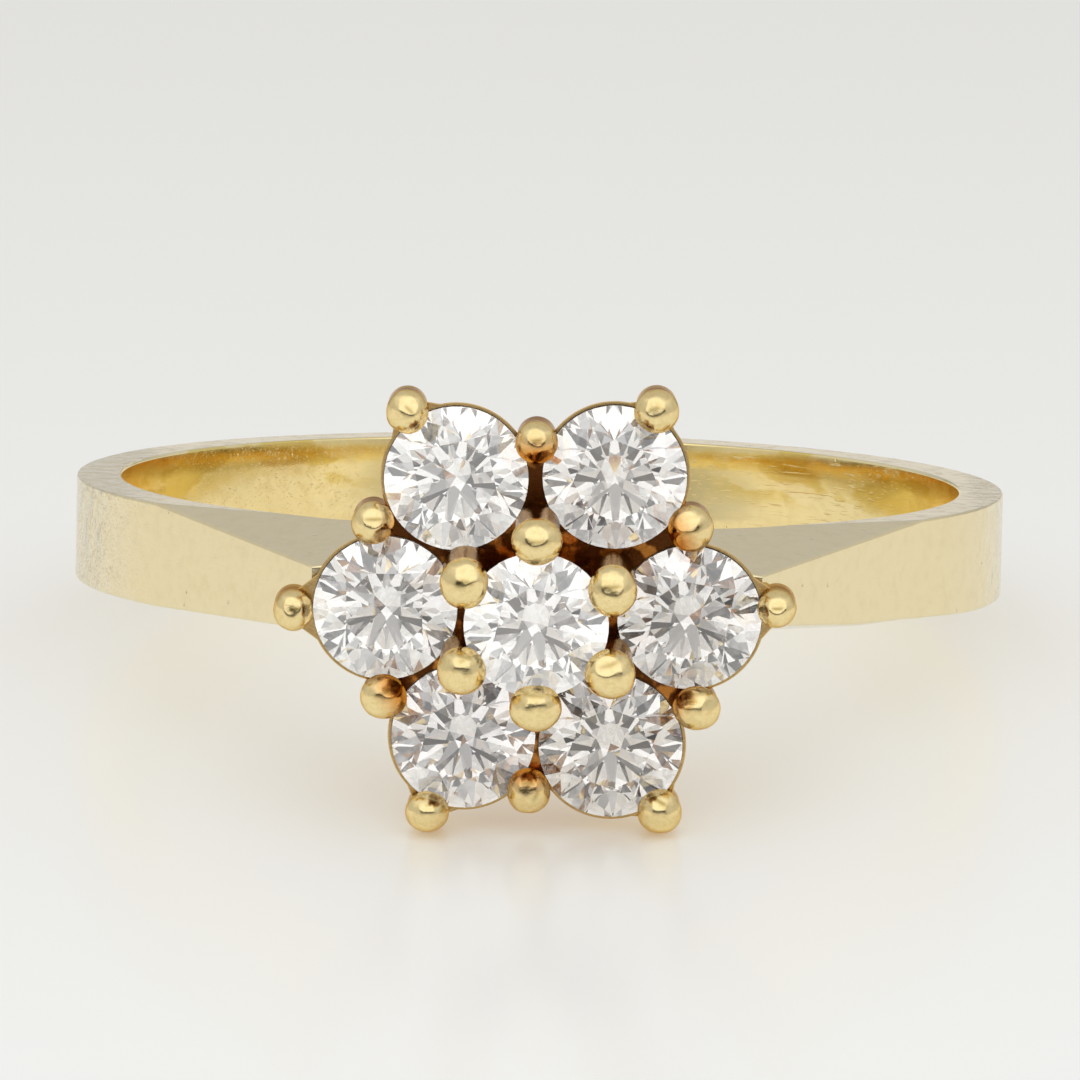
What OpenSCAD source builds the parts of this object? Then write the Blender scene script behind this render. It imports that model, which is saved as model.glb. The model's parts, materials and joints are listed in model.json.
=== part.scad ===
// Cluster ring that lies on its side: a plain shank whose shoulders taper into a flower head
// of seven round brilliants, one raised in the middle of six petals, held by eighteen prongs.
//
// The ring is drawn in its own frame first: the finger runs along Z and the head faces -Y.
// It is then laid down, so that it rests on the feet of two prongs and on the back of the shank.

/* [Shank] */
// Inner diameter of the shank, the finger's own size
finger_d = 17.3; // [16:0.1:19]
// Thickness of the shank's wall at the sides and the back
band_t = 0.92; // [0.8:0.02:1.2]
// Width of the shank along the finger
band_w = 2.1; // [1.7:0.1:2.6]
// Width of the small chamfer along the shank's edges
edge_soft = 0.06; // [0.03:0.01:0.1]
// How far the shank is turned about the head's axis, as it was soldered, in degrees
shank_twist = 1.2; // [0.5:0.1:2]

/* [Shoulders] */
// Angle from the shank's side to where a shoulder leaves the round, in degrees
shoulder_start = 32.5; // [30:0.5:35]
// Thickness of a shoulder where it meets the gallery
shoulder_t = 1.1; // [0.9:0.05:1.4]
// Angle from the shank's side to where the bevel begins on the outer face, in degrees
bevel_start = 36; // [34:0.5:40]
// Turn of the bevel's upper edge from the line across the ring, in degrees
bevel_turn = 28.5; // [25:0.5:33]
// Slope of the bevels on the sides of the shoulders, in degrees
bevel_slope = 11.5; // [8:0.5:14]

/* [Head] */
// Height of the petal stones' girdles over the shank's outer face
head_rise = 1.63; // [1.5:0.01:2]
// How far the head looks down from the shank's own plane, in degrees
head_droop = 2; // [0:0.5:4]
// How far the head sits below the shank's middle plane
head_sink = 0.3; // [0:0.05:0.4]
// Height of the centre stone's girdle over the petals' girdles
centre_rise = 1.85; // [1.5:0.05:2.2]
// Distance from the head's axis to the middle of a petal stone
petal_pitch = 3.03; // [3:0.01:3.2]

/* [Stones] */
// Diameter of each stone
stone_d = 2.86; // [2.7:0.01:2.88]
// Thickness of a stone's girdle
girdle_t = 0.09; // [0.06:0.01:0.12]
// Room left between a stone and the metal
stone_gap = 0.05; // [0.04:0.01:0.06]

/* [Prongs] */
// Diameter of the bead on an outer prong
prong_d = 0.85; // [0.75:0.01:0.95]
// Diameter of the bead on a prong beside the centre stone
inner_prong_d = 0.92; // [0.8:0.01:1]
// How much wider a bead is than the post that it ends
bead_swell = 0.06; // [0.04:0.01:0.12]
// Height of a bead's middle over the girdle that it holds
bead_lift = 0.26; // [0.2:0.01:0.35]
// How far a prong between two petals reaches over their edges
middle_grip = 0.09; // [0.05:0.01:0.15]
// How far a prong on a corner reaches over its petal's edge
corner_grip = 0.17; // [0.1:0.01:0.25]
// How far an inner prong reaches over the centre stone's edge
inner_grip = 0.22; // [0.15:0.01:0.3]

/* [Gallery] */
// Width of the rim that shows round each petal stone
rim = 0.08; // [0.06:0.01:0.12]
// Thickness of the gallery's upper plate
plate_t = 0.6; // [0.5:0.05:0.8]
// Depth of the plate's face under the girdles' edges
plate_drop = 0.06; // [0.04:0.01:0.1]
// Width of the web to a corner prong where it leaves the petal's rim
web_w = 1.5; // [1.2:0.1:1.7]
// Width of the web where it ends in the prong
web_tip_w = 0.6; // [0.4:0.05:0.7]
// Diameter of the light hole under each stone
light_hole_d = 1.4; // [1.2:0.05:1.5]
// Wall of a cup round its light hole, at the lower end
cup_wall = 0.3; // [0.25:0.05:0.4]
// Room between the cups' lower ends and the shank's outer face
cup_room = 0.13; // [0.1:0.01:0.25]
// Diameter of the drum between the head and the shank
drum_d = 4.5; // [4.2:0.1:4.6]
// Wall of the drum
drum_wall = 0.65; // [0.5:0.05:0.8]
// How deep the drum is let into the shank
drum_seat = 0.47; // [0.4:0.01:0.7]
// Diameter of the struts from the drum to the middle prongs
strut_d = 0.62; // [0.5:0.02:0.7]

/* [Hidden] */
$fn = 96;
PETALS = ["right", "top_right", "top_left", "left", "bottom_left", "bottom_right"];

gold = [0.89, 0.75, 0.42];
diamond = [0.88, 0.9, 0.93];
past = 3;              // how far a cutting shape runs past what it cuts
bite = 0.03;           // how deep one piece of metal runs into the next at a seam

// Each petal stone, in the order of PETALS: its turn off the even sixth in degrees, its place
// outward as a share of the pitch, its spin in degrees, and its outward lean as a share of
// what the gap round it allows
turn = 0;
out = 1;
spin = 2;
lean = 3;
petal_set = [
    [-2.5, 0, 12, 0.8],
    [0, 0.02, 31, -0.5],
    [1, 0.02, 4, 0.5],
    [-1, -0.01, 22, 0.7],
    [0, -0.04, 38, -0.7],
    [-1.5, 0.015, 17, 0]
];
centre_spin = 9;

// Each prong's turn off its even place in degrees, and its place outward as a share of its bead
corner_set = [[1, 0.05], [-0.5, -0.05], [2.5, 0.05], [-0.5, 0.13], [1.5, -0.2], [1.5, -0.05]];
middle_set = [[-1, -0.05], [0, -0.15], [1, 0.2], [-1, -0.07], [-2.5, 0.05], [-1, 0.2]];
inner_set = [[-4, 0], [-0.5, 0.04], [-2, 0], [0.5, 0.04], [-0.5, -0.08], [-2.5, 0.06]];

// Radii of the shank
finger_r = finger_d / 2;
band_r = finger_r + band_t;
shoulder_line_r = band_r - bite;   // the shoulder's face crosses the round just inside it

// Height of the petals' girdles over the finger's middle, and depths from those girdles
head_h = band_r + head_rise;
cup_depth = head_rise - cup_room;
drum_depth = head_rise + drum_seat;

// A round brilliant's proportions: table and star facets' ends as shares of the radius,
// and how far the lower halves run up from the culet
table_share = 0.57;
star_share = 0.5;
lower_share = 0.77;
crown_angle = 34.5;
pavilion_angle = 40.9;
mains = 8;
girdle_steps = 3;                  // edges along the girdle on each half facet
stone_r = stone_d / 2;
table_r = table_share * stone_r;
crown_h = (stone_r - table_r) * tan(crown_angle);
pavilion_h = stone_r * tan(pavilion_angle);
half_turn = 180 / mains;           // from a main facet's middle to its corner
star_inner_r = table_r * cos(half_turn);
kite_r = star_inner_r + star_share * (stone_r - star_inner_r);
kite_h = crown_h - (kite_r * cos(half_turn) - table_r) * tan(crown_angle);
lower_r = (1 - lower_share) * stone_r;
lower_h = pavilion_h - lower_r * cos(half_turn) * tan(pavilion_angle);
light_r = light_hole_d / 2;

// Places of the petals and prongs, seen from the front
prong_r = prong_d / 2;
post_r = prong_r - bead_swell / 2;
inner_prong_r = inner_prong_d / 2;
corner_reach = petal_pitch + stone_r + prong_r - corner_grip;
inner_reach = stone_r + inner_prong_r - inner_grip;
middle_reach = petal_pitch * cos(30)
    + sqrt(pow(stone_r + prong_r - middle_grip, 2) - pow(petal_pitch / 2, 2));

function polar(angle, r) = [r * cos(angle), r * sin(angle)];
function petal_place(i) = polar(60 * i + petal_set[i][turn], petal_pitch * (1 + petal_set[i][out]));
function corner_place(i) = polar(60 * i + corner_set[i][turn], corner_reach + corner_set[i][out] * prong_d);
function middle_place(i) =
    polar(60 * i + 30 + middle_set[i][turn], middle_reach + middle_set[i][out] * prong_d);
function inner_place(i) =
    polar(60 * i + 30 + inner_set[i][turn], inner_reach + inner_set[i][out] * inner_prong_d);

// Levels in the head, from the petals' girdles
plate_top = -plate_drop - girdle_t / 2;
plate_low = plate_top - plate_t;
plate_mid = plate_top - plate_t / 2;
post_foot = plate_low + bite;

// The tilt at which the ring lies: a lower corner prong's foot and the lower back edge of the
// shank touch the floor together, and each round of lay_step brings the tilt closer to that.
low_prong = corner_place(4);
foot_down = low_prong[1] * cos(head_droop) - post_foot * sin(head_droop) - head_sink;
foot_out = head_h + post_foot * cos(head_droop) + low_prong[1] * sin(head_droop);
half_low = band_w / 2 * cos(shank_twist);
edge_r = band_r - edge_soft;
function back_drop(tilt) = edge_r * sqrt(pow(sin(tilt), 2) + pow(sin(shank_twist) * cos(tilt), 2));
function lay_step(tilt) = asin((post_r * cos(tilt - head_droop)
    - (foot_down + half_low) * cos(tilt) - back_drop(tilt)) / foot_out);
function lay_angle(rounds, tilt) =
    rounds == 0 ? tilt : lay_angle(rounds - 1, (tilt + lay_step(tilt)) / 2);
lay_tilt = lay_angle(30, 9);
lift = half_low * cos(lay_tilt) + back_drop(lay_tilt);

// Half way between the back of the shank and the foremost bead, as the ring lies
head_tilt = lay_tilt - head_droop;
back_y = band_r * cos(lay_tilt) + (band_w / 2 - edge_soft) * sin(lay_tilt);
front_y = head_h * cos(lay_tilt) + (centre_rise + bead_lift) * cos(head_tilt)
    - inner_place(4)[1] * sin(head_tilt) + head_sink * sin(lay_tilt) + inner_prong_r;
mid_y = (back_y - front_y) / 2;

module as_laid() {
    translate([0, -mid_y, lift]) rotate([-lay_tilt, 0, 0]) children();
}

// The head's own frame: X to the right, Y up along the finger, Z out from the finger
module on_head() {
    translate([0, -head_h, -head_sink]) rotate([90 + head_droop, 0, 0]) children();
}

module at_petal(i) {
    translate([petal_place(i)[0], petal_place(i)[1], 0]) rotate(60 * i) children();
}

module at_centre() {
    translate([0, 0, centre_rise]) children();
}

// Band: the round of the shank, with a small chamfer on each of its four edges
module band() {
    half = band_w / 2;
    rotate_extrude($fn = 180) polygon([
        [finger_r + edge_soft, -half], [band_r - edge_soft, -half],
        [band_r, -half + edge_soft], [band_r, half - edge_soft],
        [band_r - edge_soft, half], [finger_r + edge_soft, half],
        [finger_r, half - edge_soft], [finger_r, -half + edge_soft]
    ]);
}

// Right shoulder: its outer face runs straight from the band to the gallery
module shoulder() {
    wall_r = finger_r + band_t / 2;
    foot = polar(-shoulder_start, shoulder_line_r);
    gallery_y = -head_h - plate_mid;
    rise = (foot[1] - gallery_y) / cos(shoulder_start);
    tip = foot - rise * [sin(shoulder_start), cos(shoulder_start)];
    inner_tip = tip - [shoulder_t, 0];
    inner_foot = [tip[0] - shoulder_t + bite, -sqrt(pow(wall_r, 2) - pow(tip[0] - shoulder_t, 2))];
    linear_extrude(band_w, center = true)
        polygon([polar(-shoulder_start, wall_r), foot, tip, inner_tip, inner_foot]);
}

// What the bevel takes off the upper side of the right shoulder
module bevel_cut() {
    hinge = polar(-bevel_start, band_r);
    translate([hinge[0], hinge[1], band_w / 2]) rotate([0, 0, bevel_turn])
        rotate([bevel_slope, 0, 0]) translate([-2 * finger_r, -finger_r, 0])
        cube([3 * finger_r, finger_r, past]);
}

module shank() {
    rotate([0, shank_twist, 0]) difference() {
        union() {
            band();
            for (side = [0, 1]) mirror([side, 0, 0]) shoulder();
        }
        for (side = [0, 1]) mirror([side, 0, 0]) bevel_cut();
        mirror([0, 0, 1]) bevel_cut();     // underneath, only the right shoulder has a bevel
    }
}

// Web on the plate from a petal's rim to its corner prong
module web(from, to) {
    along = to - from;
    root = 0.85 * stone_r;
    translate(from) rotate(atan2(along[1], along[0])) polygon([
        [root, -web_w / 2], [norm(along), -web_tip_w / 2],
        [norm(along), web_tip_w / 2], [root, web_w / 2]
    ]);
}

// Plate: a disc under every stone, run together, with webs to the outer prongs
module plate() {
    translate([0, 0, plate_low]) linear_extrude(plate_t) {
        circle(r = 0.75 * petal_pitch);
        for (i = [0:5]) {
            translate(petal_place(i)) circle(r = stone_r + rim);
            web(petal_place(i), corner_place(i));
            rotate(60 * i + 30 + middle_set[i][turn]) translate([0, -strut_d / 2])
                square([norm(middle_place(i)), strut_d]);
        }
    }
}

// Cup under a petal stone: it narrows from the plate to its light hole
module cup() {
    translate([0, 0, -cup_depth])
        cylinder(r1 = light_r + cup_wall, r2 = stone_r - cup_wall / 2, h = cup_depth + plate_mid);
}

// Cup that lifts the centre stone over the plate
module centre_cup() {
    low = plate_mid - centre_rise;
    translate([0, 0, low])
        cylinder(r1 = light_r + cup_wall, r2 = stone_r - 2 * bite, h = plate_top - low);
}

// Drum between the cups and the shank, with a strut out to each middle prong
module drum() {
    drum_r = drum_d / 2;
    translate([0, 0, -drum_depth]) difference() {
        cylinder(r = drum_r, h = drum_depth + plate_mid);
        translate([0, 0, -past]) cylinder(r = drum_r - drum_wall, h = 2 * past);
    }
    for (i = [0:5]) {
        place = middle_place(i);
        low_end = polar(atan2(place[1], place[0]), drum_r - drum_wall / 2);
        rod([low_end[0], low_end[1], -cup_depth], [place[0], place[1], plate_mid], strut_d / 2);
    }
}

module rod(from, to, r) {
    along = to - from;
    flat = norm([along[0], along[1]]);
    translate(from) rotate([0, atan2(flat, along[2]), atan2(along[1], along[0])])
        cylinder(r = r, h = norm(along));
}

// Prong: a post through the plate that ends in a bead over the girdle
module prong(place, girdle, bead_r) {
    translate([place[0], place[1], post_foot])
        cylinder(r = bead_r - bead_swell / 2, h = girdle + bead_lift - post_foot);
    translate([place[0], place[1], girdle + bead_lift]) sphere(r = bead_r);
}

module prongs() {
    for (i = [0:5]) {
        prong(corner_place(i), 0, prong_r);
        prong(middle_place(i), 0, prong_r);
        prong(inner_place(i), centre_rise, inner_prong_r);
    }
}

// The room that a stone needs in the metal: its own outline turned round, and its light hole
module stone_room(hole_depth) {
    half = girdle_t / 2;
    seat_r = stone_r + stone_gap;
    rotate_extrude() polygon([
        [0, -half - pavilion_h - 1.5 * stone_gap],
        [lower_r + stone_gap, -half - lower_h - stone_gap],
        [seat_r, -half - stone_gap / 2], [seat_r, half + stone_gap / 2],
        [kite_r + stone_gap, half + kite_h + stone_gap],
        [table_r, half + crown_h + stone_gap], [0, half + crown_h + stone_gap]
    ]);
    translate([0, 0, -hole_depth]) cylinder(r = light_r, h = hole_depth - half);
}

// Shank and setting: cast and soldered into one solid, with the seats cut for the stones
module shank_and_setting() {
    hole_end = cup_depth + 2 * bite;
    color(gold) as_laid() difference() {
        union() {
            shank();
            on_head() {
                plate();
                for (i = [0:5]) at_petal(i) cup();
                at_centre() centre_cup();
                drum();
                prongs();
            }
        }
        on_head() {
            for (i = [0:5]) at_petal(i) stone_room(hole_end);
            at_centre() stone_room(hole_end + centre_rise);
        }
    }
}

// Corner k of a facet ring with eight-fold or finer steps, turned and lifted
function ring_point(k, count, shift, r, z) =
    [r * cos(360 * k / count + shift), r * sin(360 * k / count + shift), z];

// Round brilliant: flat facets whose edges meet the girdle in the scallops of a real stone
module brilliant() {
    count = 2 * mains * girdle_steps;
    half = girdle_t / 2;
    mid = half_turn / 2;
    upper_slope = kite_h / ((stone_r - kite_r) * cos(mid));
    lower_slope = lower_h / ((stone_r - lower_r) * cos(mid));
    scallop = [for (k = [0:count - 1])
        stone_r * (cos((k % girdle_steps) * half_turn / girdle_steps - mid) - cos(mid))];
    tables = [for (k = [0:mains - 1]) ring_point(k, mains, 0, table_r, half + crown_h)];
    kites = [for (k = [0:mains - 1]) ring_point(k, mains, half_turn, kite_r, half + kite_h)];
    uppers = [for (k = [0:count - 1])
        ring_point(k, count, 0, stone_r, half - upper_slope * scallop[k])];
    lowers = [for (k = [0:count - 1])
        ring_point(k, count, 0, stone_r, -half + lower_slope * scallop[k])];
    joins = [for (k = [0:mains - 1]) ring_point(k, mains, half_turn, lower_r, -half - lower_h)];
    culet = [0, 0, -half - pavilion_h];

    kite_0 = mains;
    upper_0 = kite_0 + mains;
    lower_0 = upper_0 + count;
    join_0 = lower_0 + count;
    culet_0 = join_0 + mains;
    per_main = 2 * girdle_steps;
    next = function(k) (k + 1) % mains;
    last = function(k) (k + mains - 1) % mains;
    facets = concat(
        [[for (k = [0:mains - 1]) k]],
        [for (k = [0:mains - 1]) [k, kite_0 + k, next(k)]],
        [for (k = [0:mains - 1]) [k, kite_0 + last(k), upper_0 + per_main * k, kite_0 + k]],
        [for (k = [0:mains - 1], part = [0, 1]) concat([kite_0 + k],
            [for (s = [0:girdle_steps])
                upper_0 + (per_main * k + part * girdle_steps + s) % count])],
        [for (k = [0:count - 1])
            [lower_0 + k, lower_0 + (k + 1) % count, upper_0 + (k + 1) % count, upper_0 + k]],
        [for (k = [0:mains - 1], part = [0, 1]) concat([join_0 + k],
            [for (s = [girdle_steps:-1:0])
                lower_0 + (per_main * k + part * girdle_steps + s) % count])],
        [for (k = [0:mains - 1]) [culet_0, join_0 + k, lower_0 + per_main * k, join_0 + last(k)]]
    );
    polyhedron(
        points = concat(tables, kites, uppers, lowers, joins, [culet]),
        faces = [for (facet = facets) [for (c = [len(facet) - 1:-1:0]) facet[c]]]
    );
}

module centre_stone() {
    color(diamond) as_laid() on_head() at_centre() rotate(centre_spin) brilliant();
}

module petal_stone(i) {
    lean_angle = asin(petal_set[i][lean] * stone_gap / stone_r);
    color(diamond) as_laid() on_head() at_petal(i)
        rotate([0, lean_angle, 0]) rotate(petal_set[i][spin]) brilliant();
}

shank_and_setting();
centre_stone();
for (i = [0:5]) petal_stone(i);
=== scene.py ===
# Cluster ring lying on its side: finishes, fine metalwork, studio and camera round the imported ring
import json
from math import asin, atan2, cos, degrees, exp, hypot, pi, radians, sin, sqrt, tan

import bpy
import numpy as np
from mathutils import Matrix, Vector, noise


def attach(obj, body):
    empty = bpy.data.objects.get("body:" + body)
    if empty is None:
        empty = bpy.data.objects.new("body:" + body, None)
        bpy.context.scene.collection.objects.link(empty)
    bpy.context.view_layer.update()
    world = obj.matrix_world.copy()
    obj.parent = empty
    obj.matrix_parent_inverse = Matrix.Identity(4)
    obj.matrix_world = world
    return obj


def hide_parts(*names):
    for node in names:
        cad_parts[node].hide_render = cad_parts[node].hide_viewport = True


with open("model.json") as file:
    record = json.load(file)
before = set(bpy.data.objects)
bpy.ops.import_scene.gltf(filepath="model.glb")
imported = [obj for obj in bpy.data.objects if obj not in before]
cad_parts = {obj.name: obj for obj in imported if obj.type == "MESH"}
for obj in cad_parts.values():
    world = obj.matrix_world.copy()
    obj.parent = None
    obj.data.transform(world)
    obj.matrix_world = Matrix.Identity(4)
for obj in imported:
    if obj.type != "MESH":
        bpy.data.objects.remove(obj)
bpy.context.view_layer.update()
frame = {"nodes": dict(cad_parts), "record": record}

mm = 0.001
metalNode = "shank_and_setting"

# The finger hole says where the ring lies and how far it is tilted and turned
fingerHole = frame["record"]["mounts"][0]
holeCentre = Vector(fingerHole["pos_m"])
fingerAxis = Vector(fingerHole["axis"])
fingerR = fingerHole["dims"]["r_mm"]
layTilt = atan2(fingerAxis.y, fingerAxis.z)
shankTwist = asin(fingerAxis.x)


def say(stage):
    print("ring:", stage)


# All sizes are millimetres and degrees, in the ring's own frame: finger along Z, head towards -Y
shank = {
    "wall": 0.92,
    "width": 2.1,
    "edge": 0.055,             # radius of the worn edges
    "shoulderStart": 32.5,
    "shoulderWall": 1.1,
    "bevelStart": 36,
    "bevelTurn": 28.5,
    "bevelSlope": 11.5,
    "crease": 0.008,           # half width of the rounding on the bevel's ridge
    "rightUnder": 0.8,         # slope of the lower bevels, as shares of the upper ones'
    "leftUnder": 0.35,
    "hollow": 0.1,             # how much narrower the right side is underneath
    "hollowFrom": (6.3, 7.7),  # where along X the hollow begins and is full,
    "hollowTo": (8.6, 9.4),    # where it starts to end and is over,
    "hollowUp": (-6, -3),      # and where along Y it fades towards the band
    "innerLag": 3.2,           # degrees by which the inner wall lags behind at the shoulder's tip,
    "innerTip": 1.6,           # its turn over the tip's face,
    "innerFoot": 0.8,          # its turn down to the head,
    "innerPast": 2.4,          # and those two together
    "footStep": 0.02,
    "bandSteps": 124,
    "shoulderSteps": 44,
    "backSteps": 26,
    "edgeSteps": 6,
}
head = {
    "rise": 1.63,
    "droop": 2,
    "sink": 0.3,
    "centreRise": 1.85,
    "pitch": 3.03,
    "stoneD": 2.86,
    "girdle": 0.09,
    "gap": 0.05,
    "rim": 0.07,
    "plateDrop": 0.06,
    "plateWall": 0.6,
    "plateTaper": 0.08,        # how far the plate's sides lean in on their way down
    "webW": 1.5,
    "webTipW": 0.6,
    "lightHoleD": 1.4,
    "cupWall": 0.3,
    "cupRoom": 0.13,
    "drumD": 4.5,
    "drumWall": 0.65,
    "drumSeat": 0.47,
    "strutD": 0.62,
    "holeOver": 0.06,          # how far the stones' light holes run on past the cups
    "raisedIn": 0.06,          # how far the raised cup's top stays inside its stone
    "hub": 0.75,               # middle of the plate, as a share of the pitch
    "webFrom": 0.85,           # where the webs start in the stones' rims, as a share of their radius
    "plateSoft": 0.02,
    "plateSteps": 1440,
    "roundSteps": 96,
    "drumSteps": 128,
}
prongs = {
    "outerD": 0.85,
    "innerD": 0.92,
    "swell": 0.06,
    "lift": 0.26,
    "middleGrip": 0.09,
    "cornerGrip": 0.17,
    "innerGrip": 0.22,
    "footSoft": 0.03,
    "neck": 0.75,              # how far below its middle a bead grows out, as a share of its radius
    "lumpScale": 2.2,          # lumps of the uneven surface per millimetre
    "lumpSeed": 5,             # the same lumps at every run
    "lump": 0.022,
    "fineLump": 0.005,
    "postSpread": 0.35,        # how much of its bead's widening a post shares
    "roundSteps": 110,
    "postSteps": 12,
    "beadSteps": 70,
}
petalNames = ["right", "top_right", "top_left", "left", "bottom_left", "bottom_right"]
# Turn off the even place in degrees, then the place outward as a share of the pitch or bead
petalSet = [(-2.5, 0), (0, 0.02), (1, 0.02), (-1, -0.01), (0, -0.04), (-1.5, 0.015)]
cornerSet = [(1, 0.05), (-0.5, -0.05), (2.5, 0.05), (-0.5, 0.13), (1.5, -0.2), (1.5, -0.05)]
middleSet = [(-1, -0.05), (0, -0.15), (1, 0.2), (-1, -0.07), (-2.5, 0.05), (-1, 0.2)]
innerSet = [(-4, 0), (-0.5, 0.04), (-2, 0), (0.5, 0.04), (-0.5, -0.08), (-2.5, 0.06)]

bandR = fingerR + shank["wall"]
headH = bandR + head["rise"]
stoneR = head["stoneD"] / 2
plateTop = -head["plateDrop"] - head["girdle"] / 2
plateLow = plateTop - head["plateWall"]
plateMid = (plateTop + plateLow) / 2
cupDepth = head["rise"] - head["cupRoom"]
drumDepth = head["rise"] + head["drumSeat"]

ringPlace = (Matrix.Translation(holeCentre) @ Matrix.Rotation(-layTilt, 4, "X")
             @ Matrix.Scale(mm, 4))
shankPlace = ringPlace @ Matrix.Rotation(shankTwist, 4, "Y")
headPlace = (ringPlace @ Matrix.Translation((0, -headH, -head["sink"]))
             @ Matrix.Rotation(radians(90 + head["droop"]), 4, "X"))


def polar(angle, r):
    return np.array([r * cos(radians(angle)), r * sin(radians(angle))])


def petalPlace(i):
    turn, out = petalSet[i]
    return polar(60 * i + turn, head["pitch"] * (1 + out))


def cornerPlace(i):
    turn, out = cornerSet[i]
    reach = head["pitch"] + stoneR + prongs["outerD"] / 2 - prongs["cornerGrip"]
    return polar(60 * i + turn, reach + out * prongs["outerD"])


def middlePlace(i):
    turn, out = middleSet[i]
    aside = stoneR + prongs["outerD"] / 2 - prongs["middleGrip"]
    reach = head["pitch"] * cos(radians(30)) + sqrt(aside ** 2 - (head["pitch"] / 2) ** 2)
    return polar(60 * i + 30 + turn, reach + out * prongs["outerD"])


def innerPlace(i):
    turn, out = innerSet[i]
    reach = stoneR + prongs["innerD"] / 2 - prongs["innerGrip"]
    return polar(60 * i + 30 + turn, reach + out * prongs["innerD"])


# Mesh helpers: a part is (points, faces), in millimetres
def lathe(profile, steps, loop=False):
    points, faces, rows = [], [], []
    for r, z in profile:
        if r == 0:
            rows.append([len(points)])
            points.append((0, 0, z))
        else:
            rows.append(list(range(len(points), len(points) + steps)))
            points += [(r * cos(2 * pi * k / steps), r * sin(2 * pi * k / steps), z)
                       for k in range(steps)]
    pairs = list(zip(rows, rows[1:] + rows[:1])) if loop else list(zip(rows, rows[1:]))
    for low, high in pairs:
        for k in range(steps):
            n = (k + 1) % steps
            if len(low) == 1:
                faces.append((low[0], high[n], high[k]))
            elif len(high) == 1:
                faces.append((low[k], low[n], high[0]))
            else:
                faces.append((low[k], low[n], high[n], high[k]))
    return np.array(points, float), faces


def moved(part, matrix):
    points, faces = part
    m = np.array(matrix)
    return points @ m[:3, :3].T + m[:3, 3], faces


def joined(parts):
    points, faces, base = [], [], 0
    for p, f in parts:
        points.append(p)
        faces += [tuple(base + k for k in face) for face in f]
        base += len(p)
    return np.vstack(points), faces


def rod(start, end, r, steps=32):
    start, end = Vector(start), Vector(end)
    along = end - start
    turn = along.to_track_quat("Z", "Y").to_matrix().to_4x4()
    body = lathe([(0, 0), (r, 0), (r, along.length), (0, along.length)], steps)
    return moved(body, Matrix.Translation(start) @ turn)


def newObject(name, part, place, material=None):
    points, faces = moved(part, place)
    mesh = bpy.data.meshes.new(name)
    mesh.from_pydata([tuple(p) for p in points], [], faces)
    mesh.validate()
    if material:
        mesh.materials.append(material)
    obj = bpy.data.objects.new(name, mesh)
    bpy.context.scene.collection.objects.link(obj)
    return obj


def applyModifiers(obj):
    bpy.context.view_layer.update()
    graph = bpy.context.evaluated_depsgraph_get()
    mesh = bpy.data.meshes.new_from_object(obj.evaluated_get(graph))
    obj.modifiers.clear()
    old = obj.data
    obj.data = mesh
    bpy.data.meshes.remove(old)
    mesh.name = obj.name


def carve(obj, other, operation="DIFFERENCE"):
    cut = obj.modifiers.new("carve", "BOOLEAN")
    cut.operation = operation
    cut.solver = "EXACT"
    cut.material_mode = "TRANSFER"
    cut.object = other
    applyModifiers(obj)


def smoothUnder(obj, angle):
    for p in obj.data.polygons:
        p.use_smooth = True
    obj.data.set_sharp_from_angle(angle=radians(angle))


def finishPiece(obj):
    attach(obj, "root")
    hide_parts(metalNode)


# Shader groups
def newGroup(name, inputs, outputs):
    group = bpy.data.node_groups.new(name, "ShaderNodeTree")
    for label, kind, value in inputs:
        socket = group.interface.new_socket(label, in_out="INPUT", socket_type=kind)
        socket.default_value = value
    for label, kind in outputs:
        group.interface.new_socket(label, in_out="OUTPUT", socket_type=kind)
    start = group.nodes.new("NodeGroupInput")
    end = group.nodes.new("NodeGroupOutput")
    return group, start, end


def mathNode(tree, operation, a, b=None, c=None, clamp=False):
    node = tree.nodes.new("ShaderNodeMath")
    node.operation = operation
    node.use_clamp = clamp
    for k, value in enumerate((a, b, c)):
        if value is None:
            continue
        if isinstance(value, (int, float)):
            node.inputs[k].default_value = value
        else:
            tree.links.new(value, node.inputs[k])
    return node.outputs[0]


def noiseNode(tree, vector, scale, detail=2, roughness=0.5, seed=None):
    # Soft noise from 0 to 1; a seed picks another stretch of it
    node = tree.nodes.new("ShaderNodeTexNoise")
    node.inputs["Detail"].default_value = detail
    node.inputs["Roughness"].default_value = roughness
    if seed is not None:
        node.noise_dimensions = "4D"
    tree.links.new(vector, node.inputs["Vector"])
    for label, value in (("Scale", scale), ("W", seed)):
        if isinstance(value, (int, float)):
            node.inputs[label].default_value = value
        elif value is not None:
            tree.links.new(value, node.inputs[label])
    return node.outputs[0]


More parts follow.
